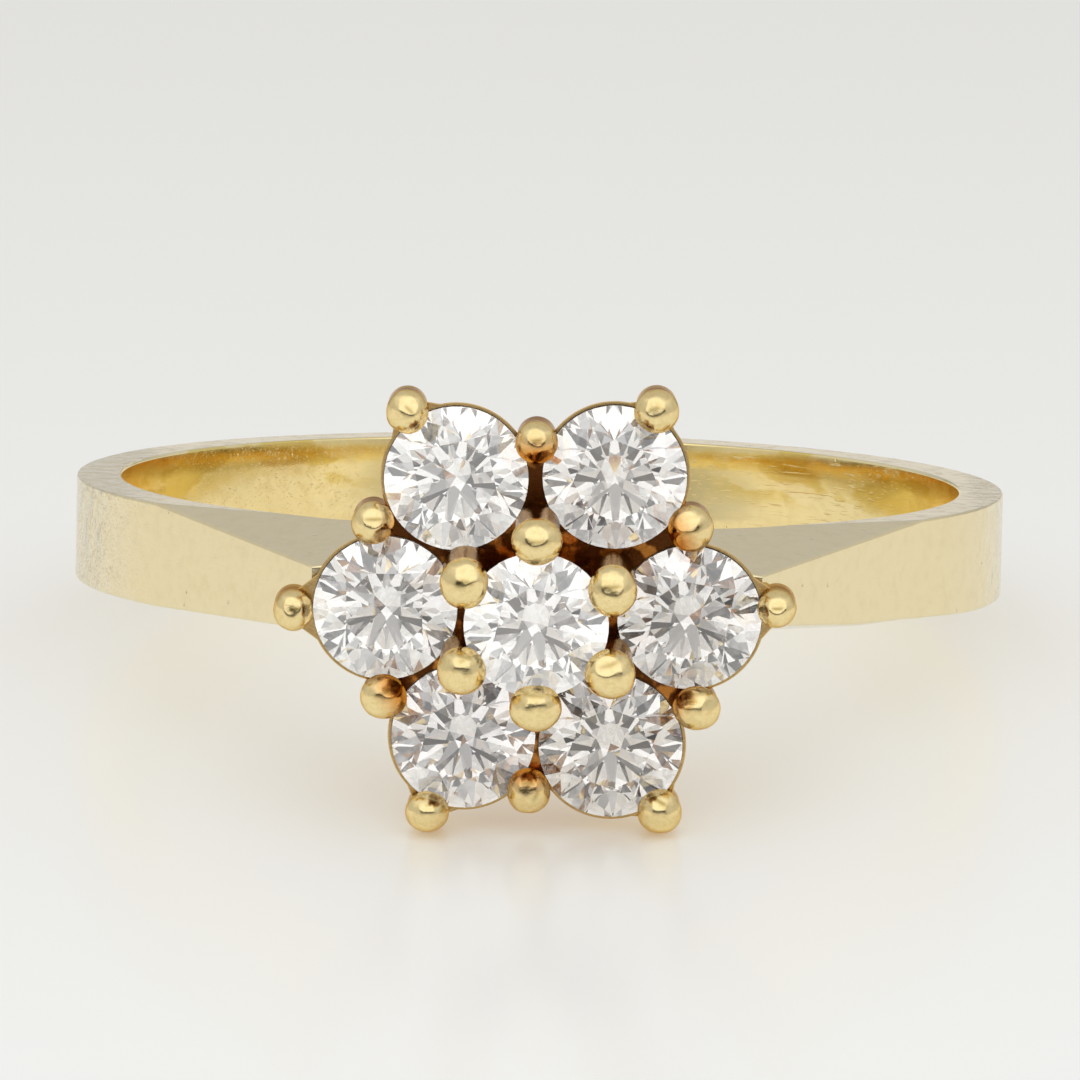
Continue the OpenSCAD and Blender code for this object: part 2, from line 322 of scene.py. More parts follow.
def buildScratchGroup():
    # Short fine scratches, all roughly one way: the peaks of a stretched noise
    peak = 0.1
    group, start, end = newGroup(
        "scratches",
        [("Vector", "NodeSocketVector", (0, 0, 0)), ("Across", "NodeSocketFloat", 18.0),
         ("Along", "NodeSocketFloat", 0.8), ("Share", "NodeSocketFloat", 0.62)],
        [("Mask", "NodeSocketFloat")])
    nodes, links = group.nodes, group.links
    split = nodes.new("ShaderNodeSeparateXYZ")
    links.new(start.outputs["Vector"], split.inputs[0])
    pack = nodes.new("ShaderNodeCombineXYZ")
    along = mathNode(group, "MULTIPLY", split.outputs[0], start.outputs["Along"])
    links.new(along, pack.inputs[0])
    for k in (1, 2):
        across = mathNode(group, "MULTIPLY", split.outputs[k], start.outputs["Across"])
        links.new(across, pack.inputs[k])
    grain = noiseNode(group, pack.outputs[0], 1, 3, 0.6)
    high = mathNode(group, "ADD", start.outputs["Share"], peak)
    mask = nodes.new("ShaderNodeMapRange")
    links.new(grain, mask.inputs["Value"])
    links.new(start.outputs["Share"], mask.inputs["From Min"])
    links.new(high, mask.inputs["From Max"])
    links.new(mask.outputs[0], end.inputs["Mask"])
    return group


def buildPolishGroup():
    # Hand polish: slow waves in the height and patches that are a little duller
    finer, patchLow, patchHigh = 3.7, 0.42, 0.72
    group, start, end = newGroup(
        "handPolish",
        [("Vector", "NodeSocketVector", (0, 0, 0)), ("Scale", "NodeSocketFloat", 1.0),
         ("Seed", "NodeSocketFloat", 0.0)],
        [("Height", "NodeSocketFloat"), ("Dull", "NodeSocketFloat")])
    nodes, links = group.nodes, group.links
    vector, scale, seed = (start.outputs[label] for label in ("Vector", "Scale", "Seed"))
    slow = noiseNode(group, vector, scale, 2, 0.5, seed)
    patch = noiseNode(group, vector, mathNode(group, "MULTIPLY", scale, finer), 5, 0.65, seed)
    ramp = nodes.new("ShaderNodeMapRange")
    ramp.inputs["From Min"].default_value = patchLow
    ramp.inputs["From Max"].default_value = patchHigh
    links.new(patch, ramp.inputs["Value"])
    links.new(slow, end.inputs["Height"])
    links.new(ramp.outputs[0], end.inputs["Dull"])
    return group


scratches = buildScratchGroup()
handPolish = buildPolishGroup()


def placeGroup(tree, group, **values):
    node = tree.nodes.new("ShaderNodeGroup")
    node.node_tree = group
    for label, value in values.items():
        if isinstance(value, (int, float)):
            node.inputs[label].default_value = value
        else:
            tree.links.new(value, node.inputs[label])
    return node


def newMaterial(name):
    material = bpy.data.materials.new(name)
    material.use_nodes = True
    tree = material.node_tree
    shader = tree.nodes["Principled BSDF"]
    return material, tree, shader


def inFrame(tree, place):
    # The point being shaded, in millimetres in the frame that the place sets up
    where = tree.nodes.new("ShaderNodeTexCoord")
    back = tree.nodes.new("ShaderNodeMapping")
    back.vector_type = "TEXTURE"
    back.inputs["Location"].default_value = place.translation
    back.inputs["Rotation"].default_value = place.to_euler("XYZ")
    back.inputs["Scale"].default_value = place.to_scale()
    tree.links.new(where.outputs["Object"], back.inputs["Vector"])
    return back.outputs[0]


def fade(tree, value, low, high, atLow=0, atHigh=1):
    # Smooth step of a value from one level to another
    node = tree.nodes.new("ShaderNodeMapRange")
    node.interpolation_type = "SMOOTHSTEP"
    node.inputs["From Min"].default_value = low
    node.inputs["From Max"].default_value = high
    node.inputs["To Min"].default_value = atLow
    node.inputs["To Max"].default_value = atHigh
    tree.links.new(value, node.inputs["Value"])
    return node.outputs[0]


def mixColour(tree, share, a, b, blend="MIX"):
    node = tree.nodes.new("ShaderNodeMix")
    node.data_type = "RGBA"
    node.blend_type = blend
    for socket, value in ((node.inputs["Factor"], share), (node.inputs["A"], a), (node.inputs["B"], b)):
        if isinstance(value, (int, float)):
            socket.default_value = value
        elif isinstance(value, tuple):
            socket.default_value = (*value, 1)
        else:
            tree.links.new(value, socket)
    return node.outputs["Result"]


def greyRamp(tree, value, stops):
    # Grey levels along a value, from pairs of a place between 0 and 1 and a level
    ramp = tree.nodes.new("ShaderNodeValToRGB")
    tree.links.new(value, ramp.inputs[0])
    elements = ramp.color_ramp.elements
    while len(elements) > 1:
        elements.remove(elements[-1])
    for k, (place, level) in enumerate(stops):
        stop = elements[0] if k == 0 else elements.new(0.5)
        stop.position = place
        stop.color = (level, level, level, 1)
    return ramp.outputs[0]


def addBump(tree, height, distance, before=None, invert=False):
    node = tree.nodes.new("ShaderNodeBump")
    node.invert = invert
    node.inputs["Distance"].default_value = distance * mm
    tree.links.new(height, node.inputs["Height"])
    if before:
        tree.links.new(before, node.inputs["Normal"])
    return node.outputs[0]


gold = {
    "band": (0.89, 0.77, 0.485),
    # Painted light: the inside's two golds are brighter, more saturated copies of the band's gold, the
    # second for the ends
    "inside": (0.955, 0.79, 0.40),
    "insideEnds": (0.98, 0.88, 0.53),
    "blots": (0.88, 0.81, 0.52),
    "blotScale": (0.6, 1.9, 1),        # blots per millimetre round the band and across it
    "leftEnd": (0.90, 0.80, 0.56),
    "cloudy": (0.93, 0.90, 0.86),
    "bead": (0.94, 0.76, 0.39),
    "deep": (0.40, 0.17, 0.045),       # painted shade low in the setting, between the stones and prongs
    # painted shade on the inner prongs' posts, down in the hollow between the stones
    "stalk": (0.34, 0.19, 0.10),
    "dirt": (0.30, 0.21, 0.05),        # painted reflection of the tent's dark opening, in the beads' streaks
    "mottle": (0.82, 0.76, 0.62),      # what the grain multiplies the head's gold by
    "headBack": (0.84, 0.66, 0.35),    # sides and back of the head
    "edgeTint": (0.8, 0.62, 0.4),      # how the head's metal looks at a glancing angle
    "seat": (0.36, 0.27, 0.20),
    "seatDull": (0.22, 0.15, 0.09),
    "seatRoughness": 0.35,
    "seatPolishScale": 4.0,
    "seatSeed": 9.0,
    "scratch": (0.84, 0.76, 0.55),
}
# Pairs are the levels between which a mask grows or fades; lengths in millimetres
bandLook = {
    "inside": (0.02, 0.06),            # past the finger hole's radius
    "insideScratches": {"Across": 9.0, "Along": 0.35, "Share": 0.55},
    "outsideScratches": {"Across": 16.0, "Along": 0.9, "Share": 0.6},
    "scratchSlant": 0.7,               # radians off the band's own way
    "insideFaint": 0.07,               # how strong the inside's scratches are
    "rubbed": (0.6, 0.5),              # the outside's: more at the worn end, and everywhere
    "scratchDull": 0.5,
    "polishScale": 0.9,
    "polished": 0.1,
    "insideRoughness": 0.18,
    "wornRoughness": 0.24,
    "wornEnd": (-9.5, -7.6),           # left end along X, rough and pale
    "rightEnd": (8.6, 9.3),
    "rightShare": 0.3,
    "crumbScale": 1.8,
    "crumb": 0.2,
    "blotShare": (0.48, 0.56),
    "blotUp": (-0.3, 0.2),
    "blotAside": (3, 4.5),
    "paleAside": (5, 8),
    "clouds": 0.5,
    "wave": 0.006,
    "scratchDepth": 0.002,
    "pitScale": 1.6,
    "pitRadius": (0.03, 0.07),         # as shares of the pits' spacing
    "pitDepth": 0.02,
}


def makeBandGold():
    material, tree, shader = newMaterial("band gold")
    nodes, links = tree.nodes, tree.links
    shader.inputs["Metallic"].default_value = 1
    spot = inFrame(tree, shankPlace)
    split = nodes.new("ShaderNodeSeparateXYZ")
    links.new(spot, split.inputs[0])
    x, y, z = split.outputs
    flat = nodes.new("ShaderNodeCombineXYZ")
    links.new(x, flat.inputs[0])
    links.new(y, flat.inputs[1])
    length = nodes.new("ShaderNodeVectorMath")
    length.operation = "LENGTH"
    links.new(flat.outputs[0], length.inputs[0])
    radius = length.outputs["Value"]
    angle = mathNode(tree, "ARCTAN2", y, x)
    arc = mathNode(tree, "MULTIPLY", angle, fingerR)
    unrolled = nodes.new("ShaderNodeCombineXYZ")
    for k, value in enumerate((arc, z, radius)):
        links.new(value, unrolled.inputs[k])
    innerFrom, innerTo = bandLook["inside"]
    inner = fade(tree, radius, fingerR + innerFrom, fingerR + innerTo, 1, 0)
    slanted = nodes.new("ShaderNodeVectorRotate")
    slanted.rotation_type = "Z_AXIS"
    slanted.inputs["Angle"].default_value = bandLook["scratchSlant"]
    links.new(spot, slanted.inputs["Vector"])
    polish = placeGroup(tree, handPolish, Vector=spot, Scale=bandLook["polishScale"])
    along = placeGroup(tree, scratches, Vector=unrolled.outputs[0], **bandLook["insideScratches"])
    slant = placeGroup(tree, scratches, Vector=slanted.outputs[0], **bandLook["outsideScratches"])
    outside = mathNode(tree, "SUBTRACT", 1, inner)
    worn = mathNode(tree, "MULTIPLY", fade(tree, x, *bandLook["wornEnd"], 1, 0), outside)
    rubbed = mathNode(tree, "MULTIPLY_ADD", worn, *bandLook["rubbed"], clamp=True)
    outerMarks = mathNode(tree, "MULTIPLY", slant.outputs["Mask"], rubbed)
    faint = mathNode(tree, "MULTIPLY", inner, bandLook["insideFaint"])
    innerMarks = mathNode(tree, "MULTIPLY", along.outputs["Mask"], faint)
    marks = mathNode(tree, "MAXIMUM", outerMarks, innerMarks)
    dull = mathNode(tree, "MULTIPLY_ADD", marks, bandLook["scratchDull"],
                    polish.outputs["Dull"], clamp=True)
    outerRough = fade(tree, dull, 0, 1, bandLook["polished"], bandLook["wornRoughness"])
    innerRough = fade(tree, dull, 0, 1, bandLook["polished"], bandLook["insideRoughness"])
    rough = mixColour(tree, inner, outerRough, innerRough)
    links.new(rough, shader.inputs["Roughness"])
    # Brown blots high on the inside wall, away from the middle
    stretched = nodes.new("ShaderNodeVectorMath")
    stretched.operation = "MULTIPLY"
    stretched.inputs[1].default_value = gold["blotScale"]
    links.new(unrolled.outputs[0], stretched.inputs[0])
    blot = noiseNode(tree, stretched.outputs[0], 1, 3)
    aside = mathNode(tree, "ABSOLUTE", x)
    high = mathNode(tree, "MULTIPLY", fade(tree, z, *bandLook["blotUp"]),
                    fade(tree, aside, *bandLook["blotAside"]))
    blots = mathNode(tree, "MULTIPLY", fade(tree, blot, *bandLook["blotShare"]), high)
    # Painted light: the inside wall's gold grows paler towards its ends
    insideLit = mixColour(tree, fade(tree, aside, *bandLook["paleAside"]), gold["inside"],
                      gold["insideEnds"])
    inside = mixColour(tree, blots, insideLit, gold["blots"], "MULTIPLY")
    ends = mixColour(tree, worn, gold["band"], gold["leftEnd"])
    sides = mixColour(tree, inner, ends, inside)
    clouds = fade(tree, polish.outputs["Dull"], 0, 1, 0, bandLook["clouds"])
    cloudy = mixColour(tree, clouds, sides, gold["cloudy"], "MULTIPLY")
    links.new(mixColour(tree, marks, cloudy, gold["scratch"]), shader.inputs["Base Color"])
    waves = addBump(tree, polish.outputs["Height"], bandLook["wave"])
    dents = addBump(tree, outerMarks, bandLook["scratchDepth"], waves, invert=True)
    grain = noiseNode(tree, spot, bandLook["crumbScale"], 4, 0.6)
    rightEnd = fade(tree, x, *bandLook["rightEnd"], 0, bandLook["rightShare"])
    crumbled = mathNode(tree, "MULTIPLY", grain, mathNode(tree, "MAXIMUM", worn, rightEnd))
    rugged = addBump(tree, crumbled, bandLook["crumb"], dents)
    cells = nodes.new("ShaderNodeTexVoronoi")
    cells.inputs["Scale"].default_value = bandLook["pitScale"]
    links.new(spot, cells.inputs["Vector"])
    pits = fade(tree, cells.outputs["Distance"], *bandLook["pitRadius"], 1, 0)
    links.new(addBump(tree, pits, bandLook["pitDepth"], rugged, invert=True),
              shader.inputs["Normal"])
    return material


# Gold of the head. Low in the setting it turns to a painted shade colour, between the levels lowEnd and
# highEnd, and in between the stones to its own two colours, from darkWithin out to clearFrom: painted
# shade on the gallery and a painted reflection of gold in gold on the outer prongs, in patches
headGold = {
    "gallery": {"surface": (0.66, 0.46, 0.20), "between": (0.12, 0.04, 0.01),
                "stain": (0.62, 0.25, 0.05), "deep": gold["deep"], "lowEnd": -0.5, "highEnd": -0.12,
                "darkWithin": 3.35, "clearFrom": 3.75, "seed": 3.0, "roughness": 0.2},
    "outer": {"surface": gold["bead"], "between": (0.78, 0.32, 0.05), "stain": (0.66, 0.22, 0.03),
              "deep": gold["deep"], "lowEnd": -0.25, "highEnd": 0.25, "darkWithin": 3.1,
              "clearFrom": 3.7, "seed": 5.0, "roughness": 0.15},
    "inner": {"surface": gold["bead"], "between": gold["bead"], "stain": gold["bead"],
              "deep": gold["stalk"], "lowEnd": 1.6, "highEnd": 2.1, "darkWithin": 0,
              "clearFrom": 1, "seed": 7.0, "roughness": 0.15},
}
headLook = {
    "polishScale": 3.0,
    "dull": 0.12,                      # what dull patches add to the roughness
    "stainScale": 2.2,
    "stainShare": (0.5, 0.62),
    "grainScale": 9,
    "grainShare": (0.42, 0.66),
    "grainTint": 0.45,
    "wave": 0.008,
    "grain": 0.004,
    "backFacing": (-0.65, -0.35),      # how far a face looks away from the head's front
    "sideRadius": (3.9, 4.4),
    "sideDepth": (-0.45, -0.2),
    "streaks": 0.85,
}


def makeHeadGold(name, look):
    material, tree, shader = newMaterial(name)
    nodes, links = tree.nodes, tree.links
    shader.inputs["Metallic"].default_value = 1
    spot = inFrame(tree, headPlace)
    split = nodes.new("ShaderNodeSeparateXYZ")
    links.new(spot, split.inputs[0])
    x, y, z = split.outputs
    square = mathNode(tree, "MULTIPLY_ADD", x, x, mathNode(tree, "MULTIPLY", y, y))
    radius = mathNode(tree, "SQRT", square)
    polish = placeGroup(tree, handPolish, Vector=spot, Scale=headLook["polishScale"],
                        Seed=look["seed"])
    # Painted shade on the gallery and a painted reflection of gold in gold on the outer prongs: within
    # darkWithin of the head's axis the gold turns to the between colour, in noise patches of a second
    # colour
    clear = fade(tree, radius, look["darkWithin"], look["clearFrom"])
    patch = noiseNode(tree, spot, headLook["stainScale"])
    paintedBetween = mixColour(tree, fade(tree, patch, *headLook["stainShare"]), look["between"],
                        look["stain"])
    top = mixColour(tree, clear, paintedBetween, look["surface"])
    # Painted shade: the gold darkens to the low shade colour towards the bottom of the setting
    lit = fade(tree, z, look["lowEnd"], look["highEnd"])
    grain = noiseNode(tree, spot, headLook["grainScale"], 4, 0.65)
    mottle = fade(tree, grain, *headLook["grainShare"], 0, headLook["grainTint"])
    mottled = mixColour(tree, mottle, top, gold["mottle"], "MULTIPLY")
    withLowShade = mixColour(tree, lit, look["deep"], mottled)
    facing = nodes.new("ShaderNodeVectorMath")
    facing.operation = "DOT_PRODUCT"
    links.new(nodes.new("ShaderNodeNewGeometry").outputs["Normal"], facing.inputs[0])
    facing.inputs[1].default_value = headPlace.to_3x3().col[2].normalized()
    back = fade(tree, facing.outputs["Value"], *headLook["backFacing"], 1, 0)
    sides = mathNode(tree, "MULTIPLY", fade(tree, radius, *headLook["sideRadius"]),
                     fade(tree, z, *headLook["sideDepth"], 1, 0))
    away = mathNode(tree, "MAXIMUM", back, sides)
    marked = nodes.new("ShaderNodeAttribute")
    marked.attribute_name = "dirt"         # the beads' painted dark streaks, a painted reflection, which buildProngs writes
    streaks = mathNode(tree, "MULTIPLY", marked.outputs["Fac"], headLook["streaks"])
    allRound = mixColour(tree, away, withLowShade, gold["headBack"])
    links.new(mixColour(tree, streaks, allRound, gold["dirt"]), shader.inputs["Base Color"])
    shader.inputs["Specular Tint"].default_value = (*gold["edgeTint"], 1)
    rough = fade(tree, polish.outputs["Dull"], 0, 1, look["roughness"],
                 look["roughness"] + headLook["dull"])
    links.new(rough, shader.inputs["Roughness"])
    waves = addBump(tree, polish.outputs["Height"], headLook["wave"])
    links.new(addBump(tree, grain, headLook["grain"], waves), shader.inputs["Normal"])
    return material


def makeSeatGold():
    # Cut seats and light holes: never polished, dull, and painted a dark brown for the shade they lie
    # in under the stones
    material, tree, shader = newMaterial("seat gold")
    shader.inputs["Metallic"].default_value = 1
    spot = inFrame(tree, headPlace)
    polish = placeGroup(tree, handPolish, Vector=spot, Scale=gold["seatPolishScale"],
                        Seed=gold["seatSeed"])
    tree.links.new(mixColour(tree, polish.outputs["Dull"], gold["seat"], gold["seatDull"]),
                   shader.inputs["Base Color"])
    shader.inputs["Roughness"].default_value = gold["seatRoughness"]
    return material


stoneLook = {
    "index": 2.42,
    "cloudScale": 0.9,         # clouds per millimetre
    "wave": 0.0025,            # how uneven the facets' polish is, in millimetres
    # The stones' glow is painted light, which lifts their dark facets
    "glowLow": (0.9, 0.9, 0.9),
    "glowHigh": (1, 1, 1),
    "centre_stone": {"clear": (0.92, 0.91, 0.885),
                     "cloudy": (0.89, 0.875, 0.85), "glow": 0.042},
    "petal_stone_right": {"clear": (0.93, 0.915, 0.885),
                          "cloudy": (0.88, 0.85, 0.815), "glow": 0.009},
    "petal_stone_top_right": {"clear": (0.93, 0.915, 0.89),
                              "cloudy": (0.9, 0.875, 0.84), "glow": 0.021},
    "petal_stone_top_left": {"clear": (0.925, 0.915, 0.89),
                             "cloudy": (0.9, 0.885, 0.85), "glow": 0.041},
    "petal_stone_left": {"clear": (0.925, 0.915, 0.89),
                         "cloudy": (0.89, 0.875, 0.84), "glow": 0.025},
    "petal_stone_bottom_left": {"clear": (0.94, 0.92, 0.9),
                                "cloudy": (0.91, 0.88, 0.85), "glow": 0.022},
    "petal_stone_bottom_right": {"clear": (0.94, 0.92, 0.89),
                                 "cloudy": (0.9, 0.87, 0.83), "glow": 0.006},
}


def makeDiamond(name, look, seed):
    material, tree, shader = newMaterial(name)
    nodes, links = tree.nodes, tree.links
    shader.inputs["Transmission Weight"].default_value = 1
    shader.inputs["Roughness"].default_value = 0
    shader.inputs["IOR"].default_value = stoneLook["index"]
    where = nodes.new("ShaderNodeTexCoord").outputs["Object"]
    cloud = noiseNode(tree, where, stoneLook["cloudScale"] / mm, seed=seed)
    links.new(mixColour(tree, cloud, look["clear"], look["cloudy"]), shader.inputs["Base Color"])
    links.new(mixColour(tree, cloud, stoneLook["glowLow"], stoneLook["glowHigh"]),
              shader.inputs["Emission Color"])
    shader.inputs["Emission Strength"].default_value = look["glow"]
    links.new(addBump(tree, cloud, stoneLook["wave"]), shader.inputs["Normal"])
    return material


say("materials")


# Shank: sections swept round the finger, out to the shoulders' tips
def pastRidge(x, y):
    # How far a point of the shank's plan is from the bevel's ridge, below zero in the bevel
    hinge = polar(-shank["bevelStart"], bandR)
    turn = radians(shank["bevelTurn"])
    return -(abs(x) - hinge[0]) * sin(turn) + (y - hinge[1]) * cos(turn)


def ease(value, low, high):
    share = max(0, min(1, (value - low) / (high - low)))
    return share * share * (3 - 2 * share)


def edgeHeight(point, under):
    # Half width of the shank over or under its middle plane: underneath, the left shoulder is
    # bevelled much less than the right one, which has a slight hollow before its bevel
    x, y = point
    drop = min(0, pastRidge(x, y)) * tan(radians(shank["bevelSlope"]))
    if not under:
        return shank["width"] / 2 + drop
    share = shank["rightUnder"] if x > 0 else shank["leftUnder"]
    hollow = ease(x, *shank["hollowFrom"]) * (1 - ease(x, *shank["hollowTo"]))
    hollow *= 1 - ease(y, *shank["hollowUp"])
    return shank["width"] / 2 + drop * share - shank["hollow"] * hollow


def rightStations():
    # Pairs of an inner and an outer point, from the back of the shank round to the head
    start = shank["shoulderStart"]
    tipY = headH + plateMid
    tipX = bandR * cos(radians(start)) - (tipY - bandR * sin(radians(start))) * tan(radians(start))
    tipAngle = degrees(atan2(tipY, tipX))
    innerEnd = tipAngle - shank["innerLag"]      # behind the outer wall, so that no sections cross
    pairs = [(-a, polar(-a, bandR)) for a in np.linspace(-90, start, shank["bandSteps"])[:-1]]
    for share in np.linspace(0, 1, shank["shoulderSteps"]):
        a = start + share * (tipAngle - start)
        pairs.append((-(start + share * (innerEnd - start)),
                      polar(-a, bandR / cos(radians(a - start)))))
    wallX = tipX - shank["shoulderWall"]
    for share in (0.3, 0.7, 1):
        pairs.append((-(innerEnd + share * shank["innerTip"]),
                      np.array([tipX - share * (tipX - wallX), -tipY])))
    footY = sqrt(bandR ** 2 - wallX ** 2)
    for share in (0.3, 0.6, 1):
        pairs.append((-(innerEnd + shank["innerTip"] + share * shank["innerFoot"]),
                      np.array([wallX + shank["footStep"] * share, -(tipY + share * (footY - tipY))])))
    footAngle = degrees(atan2(footY, wallX))
    for share in np.linspace(0, 1, shank["backSteps"])[1:]:
        outer = footAngle + share * (90 - footAngle)
        inner = innerEnd + shank["innerPast"] + share * (90 - innerEnd - shank["innerPast"])
        pairs.append((-inner, polar(-outer, bandR)))
    return [(polar(a, fingerR), outer) for a, outer in pairs]


def sectionPoints(inner, outer):
    # One section as (x, y, z) rows, from the inner wall's middle over the top and back below
    length = hypot(*(outer - inner))
    way = (outer - inner) / length
    edge = shank["edge"]
    flatFrom = edge * 1.3              # rows that keep the flats flat up to the rounded edges

    pastIn, pastOut = pastRidge(*inner), pastRidge(*outer)
    ridge = length * pastIn / (pastIn - pastOut) if pastOut < 0 < pastIn else length
    crease = shank["crease"]
    low, high = edge + 5 * crease, length - edge - 5 * crease
    ridge = min(max(ridge, low), high)
    loop = []
    for under in (False, True):

        def top(s):
            return edgeHeight(inner + way * s, under)

        inTop = top(0) - edge
        rise = top(edge) - inTop
        side = [(0, 0), (0, inTop * 0.5), (0, inTop)]
        side += [(edge * (1 - cos(t)), inTop + rise * sin(t))
                 for t in np.linspace(0, pi / 2, shank["edgeSteps"])[1:]]
        side += [(s, top(s)) for s in (flatFrom, edge + (ridge - edge) * 0.5, ridge - 2 * crease,
                                       ridge - crease)]
        side += [(ridge, (top(ridge - crease) + 2 * top(ridge) + top(ridge + crease)) / 4)]
        side += [(s, top(s)) for s in (ridge + crease, ridge + 2 * crease,
                                       ridge + (length - edge - ridge) * 0.55, length - flatFrom)]
        corner = np.array([length, top(length)])
        before = np.array([length - edge, top(length - edge)])
        after = np.array([length, top(length) - edge])
        for t in np.linspace(0, 1, shank["edgeSteps"] + 1):
            p = before * (1 - t) ** 2 + 2 * corner * t * (1 - t) + after * t ** 2
            side.append((p[0], p[1]))
        side += [(length, after[1] * k) for k in (0.6, 0.25)]
        if under:
            loop += [(length, 0)] + [(s, -z) for s, z in reversed(side[1:])]
        else:
            loop = side
    return [(*(inner + way * s), z) for s, z in loop]


def buildShank(material):
    right = rightStations()
    left = [(inner * (-1, 1), outer * (-1, 1)) for inner, outer in reversed(right[1:-1])]
    rows = [sectionPoints(inner, outer) for inner, outer in right + left]
    count, around = len(rows), len(rows[0])
    points = np.array([p for row in rows for p in row])
    faces = []
    for i in range(count):
        j = (i + 1) % count
        for k in range(around):
            n = (k + 1) % around
            faces.append((i * around + k, j * around + k, j * around + n, i * around + n))
    return newObject("shank", (points, faces), shankPlace, material)


# Stones' room, cut out of the metal round them, from the brilliants' own proportions
stoneCut = {
    "pavilion": 40.9,          # slopes of the main facets, in degrees
    "crown": 34.5,
    "table": 0.57,             # the table's radius and the lower facets' inner end, as shares
    "lowerEnd": 0.23,          # of the stone's radius
    "star": 0.5,               # how far the star facets reach from the table to the girdle
    "half": 22.5,              # half the turn from one main facet to the next
}


def stoneRoom(holeDepth):
    half, gap = head["girdle"] / 2, head["gap"]
    steep, low = tan(radians(stoneCut["pavilion"])), tan(radians(stoneCut["crown"]))
    flat = cos(radians(stoneCut["half"]))      # a facet's middle lies nearer in than its corners
    pavilion = stoneR * steep
    lowerR = stoneCut["lowerEnd"] * stoneR
    lowerH = pavilion - lowerR * flat * steep
    tableR = stoneCut["table"] * stoneR
    crown = (stoneR - tableR) * low
    starIn = tableR * flat
    kiteR = starIn + stoneCut["star"] * (stoneR - starIn)
    kiteH = crown - (kiteR * flat - tableR) * low
    lightR = head["lightHoleD"] / 2
    seatR = stoneR + gap
    slope = (lowerH - gap / 2) / (seatR - lowerR - gap)
    holeTop = -half - gap / 2 - (seatR - lightR) * slope   # where the hole meets the seat's cone
    return lathe([(0, -holeDepth), (lightR, -holeDepth), (lightR, holeTop),
                  (seatR, -half - gap / 2), (seatR, half + gap / 2),
                  (kiteR + gap, half + kiteH + gap), (tableR, half + crown + gap),
                  (0, half + crown + gap)], head["roundSteps"])


def buildRooms(material):
    holeEnd = cupDepth + head["holeOver"]
    parts = [moved(stoneRoom(holeEnd), Matrix.Translation((*petalPlace(i), 0))) for i in range(6)]
    parts.append(moved(stoneRoom(holeEnd + head["centreRise"]),
                       Matrix.Translation((0, 0, head["centreRise"]))))
    return newObject("stoneRooms", joined(parts), headPlace, material)


# Gallery: plate with its rims and webs, cups, drum and struts
def rayToDisc(angle, centre, r):
    way = polar(angle, 1)
    near = float(way @ centre)
    aside = float(way[0] * centre[1] - way[1] * centre[0])
    return near + sqrt(r * r - aside * aside) if abs(aside) < r and near > 0 else 0


def rayToBar(angle, start, end, startW, endW):
    # How far a ray from the head's axis runs in a tapered bar
    along = end - start
    along = along / hypot(*along)
    side = np.array([-along[1], along[0]])
    corners = [start - side * startW / 2, end - side * endW / 2,
               end + side * endW / 2, start + side * startW / 2]
    way, best = polar(angle, 1), 0
    for a, b in zip(corners, corners[1:] + corners[:1]):
        step = b - a
        cross = way[0] * step[1] - way[1] * step[0]
        if abs(cross) < 1e-9:
            continue
        t = (a[0] * step[1] - a[1] * step[0]) / cross
        u = (a[0] * way[1] - a[1] * way[0]) / cross
        if t > 0 and -1e-9 <= u <= 1 + 1e-9:
            best = max(best, t)
    return best


def plateOutline(inset):
    points = []
    for k in range(head["plateSteps"]):
        angle = 360 * k / head["plateSteps"]
        reach = head["hub"] * head["pitch"]
        for i in range(6):
            petal = petalPlace(i)
            corner = cornerPlace(i)
            along = (corner - petal) / hypot(*(corner - petal))
            middle = middlePlace(i)
            strutW = head["strutD"] - 2 * inset
            reach = max(reach, rayToDisc(angle, petal, stoneR + head["rim"] - inset),
                        rayToBar(angle, petal + along * head["webFrom"] * stoneR,
                                 corner - along * inset,
                                 head["webW"] - 2 * inset, head["webTipW"] - 2 * inset),
                        rayToBar(angle, np.zeros(2), middle, strutW, strutW))
        points.append(polar(angle, reach))
    return np.array(points)


def buildPlate():
    soft = head["plateSoft"]
    rows = []
    for inset, flat, side in ((head["plateTaper"], plateLow, plateLow + soft),
                              (0, plateTop, plateTop - soft)):
        outline = plateOutline(inset)
        ahead, behind = np.roll(outline, -2, 0), np.roll(outline, 2, 0)
        tangent = (ahead - behind) / np.linalg.norm(ahead - behind, axis=1)[:, None]
        inward = np.c_[-tangent[:, 1], tangent[:, 0]]
        rows += [(outline + inward * soft, flat), (outline, side)]
    rows[2:] = [rows[3], rows[2]]
    count = len(outline)
    points = np.vstack([np.c_[xy, np.full(count, z)] for xy, z in rows])
    faces = [tuple(range(count - 1, -1, -1)), tuple(range(3 * count, 4 * count))]
    for row in range(3):
        for k in range(count):
            n = (k + 1) % count
            faces.append((row * count + k, row * count + n,
                          (row + 1) * count + n, (row + 1) * count + k))
    return points, faces


